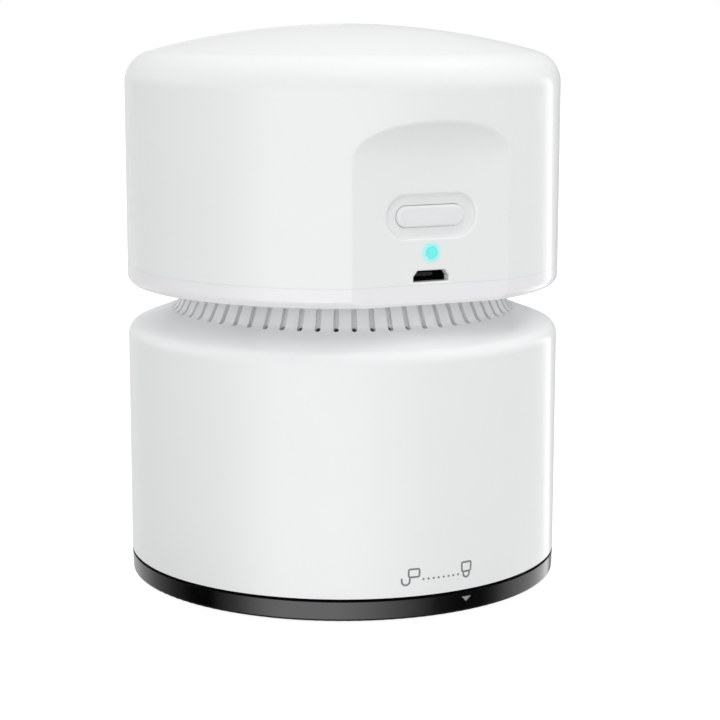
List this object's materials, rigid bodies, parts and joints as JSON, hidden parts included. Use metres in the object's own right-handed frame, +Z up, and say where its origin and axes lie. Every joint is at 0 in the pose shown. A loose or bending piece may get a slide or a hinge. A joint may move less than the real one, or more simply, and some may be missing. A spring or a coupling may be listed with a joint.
{
  "type": "desktop mini vacuum cleaner",
  "caption": "Round desktop mini vacuum with a domed head, a vented neck, a dust bin, a push button, a charging socket and a twist-off base.",
  "frame": {"origin": "centre of the bottom, on the surface that the object stands on", "axes": "+Z up along the body's axis, the push button and the charging socket face -Y"},
  "size_m": [0.085, 0.085, 0.1081],
  "materials": {
    "white_shell": "smooth gloss white moulding",
    "white_trim": "smooth gloss white moulding",
    "white_button": "satin white button",
    "black_gloss": "gloss black moulding",
    "black_matte": "fine grained black moulding",
    "grey_plastic": "plain grey inner moulding",
    "screw_steel": "bright steel screws",
    "motor_steel": "plated steel can and shaft",
    "bronze": "sintered bronze",
    "copper": "enamelled copper wire",
    "magnet": "dark ferrite",
    "nickel": "nickel plated strip",
    "rubber": "soft black rubber",
    "pad_white": "slippery white pads",
    "cell_wrap": "green shrink sleeve",
    "board_green": "solder mask",
    "lamp": "clear light pipe lit cyan",
    "filter_cloth": "pleated filter paper",
    "mesh_steel": "fine woven steel mesh",
    "bristle": "black nylon bristles",
    "lead_red": "red insulation",
    "lead_black": "black insulation"
  },
  "bodies": {
    "housing": {"top_housing": "white_shell", "head_base": "white_trim", "housing_screws": "screw_steel", "bin_shell": "white_shell", "neck_screws": "screw_steel", "fan_shroud": "grey_plastic", "shroud_screws": "screw_steel", "filter_frame": "black_matte", "filter_pleats": "filter_cloth", "filter_mesh": "mesh_steel", "filter_seal": "rubber", "motor_can": "motor_steel", "motor_end_cap": "black_matte", "motor_bushes": "bronze", "motor_magnets": "magnet", "motor_brushes": "magnet", "motor_tabs": "nickel", "motor_sleeve": "rubber", "motor_screws": "screw_steel", "battery_cell": "cell_wrap", "battery_cradle": "black_matte", "battery_strips": "nickel", "battery_pad": "rubber", "control_board": "board_green", "board_screws": "screw_steel", "tact_switch": "black_matte", "led_chip": "pad_white", "light_pipe": "lamp", "usb_shell": "nickel", "usb_tongue": "black_matte", "usb_contacts": "bronze", "charge_chip": "black_matte", "motor_lead_a": "lead_red", "motor_lead_b": "lead_black", "battery_lead_plus": "lead_red", "battery_lead_minus": "lead_black"},
    "fan_rotor": {"impeller": "grey_plastic", "motor_shaft": "motor_steel", "armature_core": "motor_steel", "armature_coils": "copper", "commutator": "copper"},
    "power_button": {"button_cap": "white_button", "switch_plunger": "black_matte"},
    "base": {"base_ring": "black_gloss", "glide_pads": "pad_white", "base_gasket": "rubber", "inlet_plate": "black_matte", "inlet_duct": "black_matte", "brush_tufts": "bristle", "base_screws": "screw_steel"}
  },
  "joints": [
    {"name": "fan_spin", "type": "hinge", "parent": "housing", "child": "fan_rotor", "pos_m": [0, 0, 0.052], "axis": [0, 0, 1], "continuous": true},
    {"name": "button_press", "type": "slide", "parent": "housing", "child": "power_button", "axis": [0, 1, 0], "range_m": [0, 0.0005], "stiffness_N_per_m": 2000, "springref_m": -0.0004},
    {"name": "base_twist", "type": "hinge", "parent": "housing", "child": "base", "pos_m": [0, 0, 0.0026], "axis": [0, 0, 1], "range_deg": [-15.5, 0]}
  ]
}
